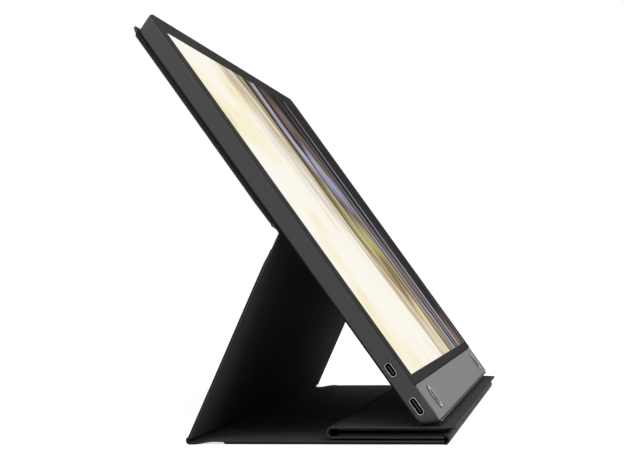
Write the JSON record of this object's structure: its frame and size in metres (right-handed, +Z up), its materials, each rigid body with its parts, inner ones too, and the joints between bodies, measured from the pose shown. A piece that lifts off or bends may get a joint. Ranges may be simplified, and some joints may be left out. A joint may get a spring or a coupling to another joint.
{
  "type": "portable monitor with cover",
  "caption": "Slim portable display leaning on a folio cover that is folded into a stand, with a hinged leg, folded flaps, round chin buttons and side sockets.",
  "frame": {"origin": "centre of the floor panel's underside, on the table", "axes": "+X to the viewer's right along the screen's long side, the screen faces -Y, +Z up"},
  "size_m": [0.36, 0.1474, 0.1979],
  "materials": {
    "shell": "fine matte moulded plastic",
    "frame": "fine blasted and anodised dark grey metal",
    "glass": "polished glass with a black printed border",
    "bond": "clear adhesive",
    "cell": null,
    "guide": "clear moulded plastic with white films",
    "lamp": "lamp strip",
    "tray": "bare sheet metal",
    "chin": "satin blasted metal",
    "trim": "polished metal edge",
    "board": "lacquered circuit board",
    "screw": "plated steel",
    "port": "plated steel",
    "tongue": "black moulded plastic",
    "ribbon": "amber film",
    "button": "spun metal",
    "plunger": "ivory moulded plastic",
    "switch": "black moulded plastic",
    "magnet": "nickel plated magnet",
    "disc": "steel disc",
    "lining": "short napped microfibre",
    "stiffener": "pressed fibre board",
    "leather": "finely grained black synthetic leather"
  },
  "bodies": {
    "base": {"foot_fold": "leather", "spine_strip": "leather", "floor_lining": "lining", "floor_stiffener": "stiffener", "floor_leather": "leather", "front_fold": "leather"},
    "leg": {"leg_lining": "lining", "leg_stiffener": "stiffener", "leg_leather": "leather"},
    "display": {"rear_shell": "shell", "side_frame": "frame", "front_glass": "glass", "glass_bond": "bond", "display_cell": "cell", "light_guide": "guide", "lamp_bar": "lamp", "panel_tray": "tray", "chin_plate": "chin", "chin_trim": "trim", "main_board": "board", "board_screws": "screw", "usb_c_shell": "port", "usb_c_tongue": "tongue", "micro_hdmi_shell": "port", "micro_hdmi_tongue": "tongue", "panel_ribbon": "ribbon", "left_switch": "switch", "left_button_board": "board", "right_switch": "switch", "right_button_board": "board", "shell_magnets": "magnet", "upper_lining": "lining", "upper_stiffener": "stiffener", "upper_leather": "leather", "cover_discs": "disc", "hinge_strip": "leather"},
    "middle_flap": {"middle_lining": "lining", "middle_stiffener": "stiffener", "middle_leather": "leather", "rear_fold": "leather"},
    "front_flap": {"front_lining": "lining", "front_stiffener": "stiffener", "front_leather": "leather"},
    "left_key": {"left_button": "button", "left_plunger": "plunger"},
    "right_key": {"right_button": "button", "right_plunger": "plunger"}
  },
  "joints": [
    {"name": "stand_fold", "type": "hinge", "parent": "base", "child": "leg", "pos_m": [0, 0.0649, 0.0019], "axis": [-1, 0, 0], "range_deg": [0, 114.4], "deforming": ["foot_fold"]},
    {"name": "display_fold", "type": "hinge", "parent": "leg", "child": "display", "pos_m": [0, 0.02219, 0.09585], "axis": [-1, 0, 0], "range_deg": [-59.74, 0]},
    {"name": "flap_fold", "type": "hinge", "parent": "base", "child": "middle_flap", "pos_m": [0, -0.0515, 0.0025], "axis": [-1, 0, 0], "range_deg": [-125.9, 0], "deforming": ["front_fold"]},
    {"name": "lip_fold", "type": "hinge", "parent": "middle_flap", "child": "front_flap", "pos_m": [0, -0.0009, 0.0056], "axis": [-1, 0, 0], "range_deg": [0, 80.2], "deforming": ["rear_fold"]},
    {"name": "left_button_press", "type": "slide", "parent": "display", "child": "left_key", "axis": [0, 0.8161, -0.5779], "range_m": [0, 0.0005], "stiffness_N_per_m": 1200},
    {"name": "right_button_press", "type": "slide", "parent": "display", "child": "right_key", "axis": [0, 0.8161, -0.5779], "range_m": [0, 0.0005], "stiffness_N_per_m": 1200}
  ],
  "couplings": [
    {"joint": "display_fold", "follows": "stand_fold", "ratio": -0.52206},
    {"joint": "flap_fold", "follows": "stand_fold", "ratio": -1.1},
    {"joint": "lip_fold", "follows": "stand_fold", "ratio": 0.7}
  ]
}
